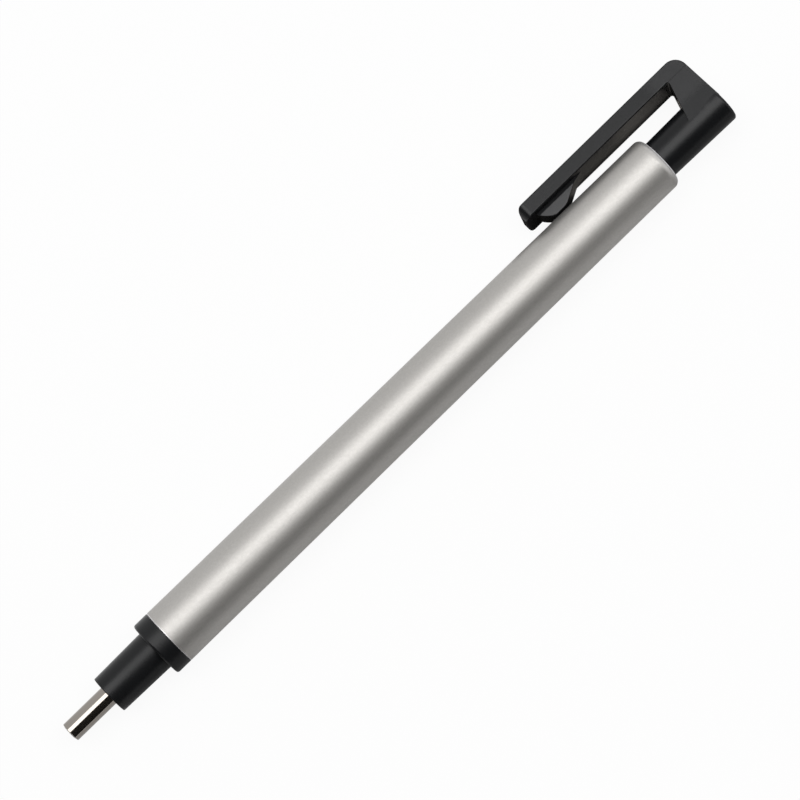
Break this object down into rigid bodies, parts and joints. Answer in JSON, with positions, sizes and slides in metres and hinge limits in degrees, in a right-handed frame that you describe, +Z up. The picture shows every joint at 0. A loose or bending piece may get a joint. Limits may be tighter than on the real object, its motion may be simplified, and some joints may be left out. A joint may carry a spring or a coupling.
{
  "type": "pencil eraser stick",
  "caption": "Slim click eraser holder with a steel guide pipe, black nose, silver barrel and a black push knob with pocket clip.",
  "frame": {"origin": "centre of the eraser's rubbing face, on the pen's axis", "axes": "+X from the tip to the knob, +Z up with the pen lying on its side, clip towards +Y"},
  "size_m": [0.1259, 0.0134, 0.0088],
  "materials": {
    "silver_paint": "satin silver paint on a moulded barrel",
    "black_plastic": "fine satin moulding",
    "bright_steel": "bright drawn tube",
    "black_rubber": "soft rubber ring",
    "natural_plastic": "natural moulded plastic",
    "ring_brass": "turned brass",
    "chuck_plastic": "tough moulded plastic",
    "spring_steel": "drawn spring wire",
    "white_eraser": "matt white elastomer"
  },
  "bodies": {
    "body": {"barrel": "silver_paint", "nose_cone": "black_plastic", "guide_pipe": "bright_steel", "eraser_retainer": "black_rubber", "mechanism_sleeve": "natural_plastic", "return_spring": "spring_steel"},
    "knock": {"knob_clip": "black_plastic", "inner_tube": "natural_plastic", "tube_coupler": "natural_plastic", "chuck_stem": "chuck_plastic"},
    "ring": {"clutch_ring": "ring_brass"},
    "jaw_1": {"chuck_jaw_1": "chuck_plastic"},
    "jaw_2": {"chuck_jaw_2": "chuck_plastic"},
    "jaw_3": {"chuck_jaw_3": "chuck_plastic"},
    "eraser": {"eraser_stick": "white_eraser"}
  },
  "joints": [
    {"name": "knock_press", "type": "slide", "parent": "body", "child": "knock", "axis": [-1, 0, 0], "range_m": [0, 0.004], "stiffness_N_per_m": 350, "springref_m": -0.006, "deforming": ["return_spring"]},
    {"name": "ring_slide", "type": "slide", "parent": "body", "child": "ring", "axis": [-1, 0, 0], "range_m": [0, 0.0012]},
    {"name": "jaw_1_open", "type": "hinge", "parent": "knock", "child": "jaw_1", "pos_m": [0.031, 0, 0.00147], "axis": [0, 1, 0], "range_deg": [0, 1.5]},
    {"name": "jaw_2_open", "type": "hinge", "parent": "knock", "child": "jaw_2", "pos_m": [0.031, -0.00127, -0.00073], "axis": [0, -0.5, 0.866], "range_deg": [0, 1.5]},
    {"name": "jaw_3_open", "type": "hinge", "parent": "knock", "child": "jaw_3", "pos_m": [0.031, 0.00127, -0.00073], "axis": [0, -0.5, -0.866], "range_deg": [0, 1.5]},
    {"name": "eraser_slide", "type": "slide", "parent": "body", "child": "eraser", "axis": [-1, 0, 0], "range_m": [-0.031, 0.06]}
  ],
  "couplings": [
    {"joint": "ring_slide", "follows": "knock_press", "ratio": 0.3},
    {"joint": "jaw_1_open", "follows": "knock_press", "rad_per_m": 6.5},
    {"joint": "jaw_2_open", "follows": "knock_press", "rad_per_m": 6.5},
    {"joint": "jaw_3_open", "follows": "knock_press", "rad_per_m": 6.5}
  ]
}
